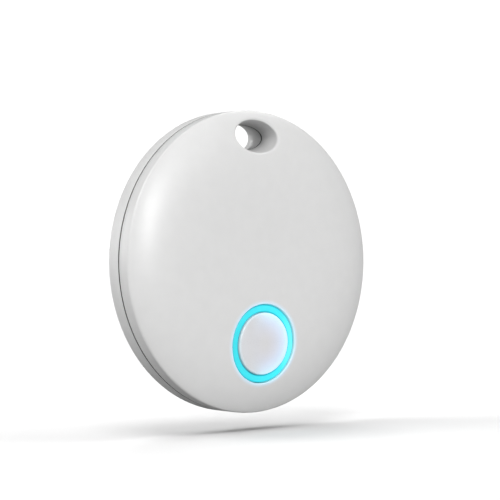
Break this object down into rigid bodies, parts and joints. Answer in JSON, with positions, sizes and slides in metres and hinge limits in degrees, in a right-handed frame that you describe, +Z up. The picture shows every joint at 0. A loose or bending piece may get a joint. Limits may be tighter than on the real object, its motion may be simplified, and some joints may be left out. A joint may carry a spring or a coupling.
{
  "type": "bluetooth tracker tag",
  "caption": "Round pocket tracker tag with a flared keyring hole, a push button inside a lit ring, a snap-off rear cover and a coin cell inside.",
  "frame": {"origin": "the middle of the keyring hole, on the plane where the front shell and the rear cover meet", "axes": "+Z up, the tag upright with its hole at the top; -Y out of the face with the button; +Y out of the rear cover; +X to the right seen from the front"},
  "size_m": [0.04, 0.0081, 0.04],
  "materials": {
    "housing": "satin white moulded plastic",
    "button": "satin white, slightly translucent",
    "light_guide": "frosted clear plastic lit cyan from behind",
    "silicone": "soft translucent white",
    "foam": "matt black foam",
    "board": "green solder mask over glass epoxy",
    "chip": "matt black moulding",
    "plunger": "natural nylon",
    "spring_steel": "plated steel",
    "led": "clear lens over a pale base",
    "antenna": "glazed ceramic",
    "capacitor": "fired tan ceramic with tinned ends",
    "resistor": "black glaze with tinned ends",
    "brass": "rolled brass",
    "piezo": "silvered ceramic",
    "contact": "gold-plated phosphor bronze",
    "cell_steel": "bright nickel-plated steel",
    "gasket": "matt polypropylene",
    "anode": "dull lithium metal",
    "separator": "thin white felt",
    "cathode": "pressed black powder",
    "holder": "matt black moulding",
    "screw": "zinc-plated steel"
  },
  "bodies": {
    "housing": {"front_shell": "housing", "light_ring": "light_guide", "light_shield": "foam", "switch_body": "chip", "led_1": "led", "led_2": "led", "led_3": "led", "led_4": "led", "led_5": "led", "led_6": "led", "main_board": "board", "radio_chip": "chip", "main_crystal": "spring_steel", "clock_crystal": "spring_steel", "antenna_chip": "antenna", "sounder_coil": "chip", "supply_capacitor": "capacitor", "antenna_coil": "capacitor", "capacitor_1": "capacitor", "capacitor_2": "capacitor", "capacitor_3": "capacitor", "capacitor_4": "capacitor", "resistor_1": "resistor", "resistor_2": "resistor", "resistor_3": "resistor", "sounder_foam": "foam", "sounder_plate": "brass", "sounder_disc": "piezo", "sounder_spring_1": "contact", "sounder_spring_2": "contact", "cell_holder": "holder", "side_contact": "contact", "front_contact": "contact", "screw_1": "screw", "screw_2": "screw", "screw_3": "screw", "screw_4": "screw", "button_seal": "silicone", "switch_dome": "spring_steel"},
    "button": {"button_cap": "button"},
    "plunger": {"switch_plunger": "plunger"},
    "cover": {"rear_cover": "housing", "cover_pad": "foam"},
    "cell": {"cell_can": "cell_steel", "cell_cap": "cell_steel", "cell_gasket": "gasket", "cell_anode": "anode", "cell_separator": "separator", "cell_cathode": "cathode"}
  },
  "joints": [
    {"name": "button_press", "type": "slide", "parent": "housing", "child": "button", "axis": [0, 1, 0], "range_m": [0, 0.0003], "stiffness_N_per_m": 600, "deforming": ["button_seal"]},
    {"name": "plunger_press", "type": "slide", "parent": "housing", "child": "plunger", "axis": [0, 1, 0], "range_m": [0, 0.0003], "deforming": ["switch_dome"]},
    {"name": "cover_slide", "type": "slide", "parent": "housing", "child": "cover", "axis": [0, 1, 0], "range_m": [0, 0.03]},
    {"name": "cell_slide", "type": "slide", "parent": "housing", "child": "cell", "axis": [0, 1, 0], "range_m": [0, 0.015]}
  ],
  "couplings": [
    {"joint": "plunger_press", "follows": "button_press", "ratio": 1},
    {"joint": "cell_slide", "follows": "cover_slide", "ratio": 0.5}
  ]
}
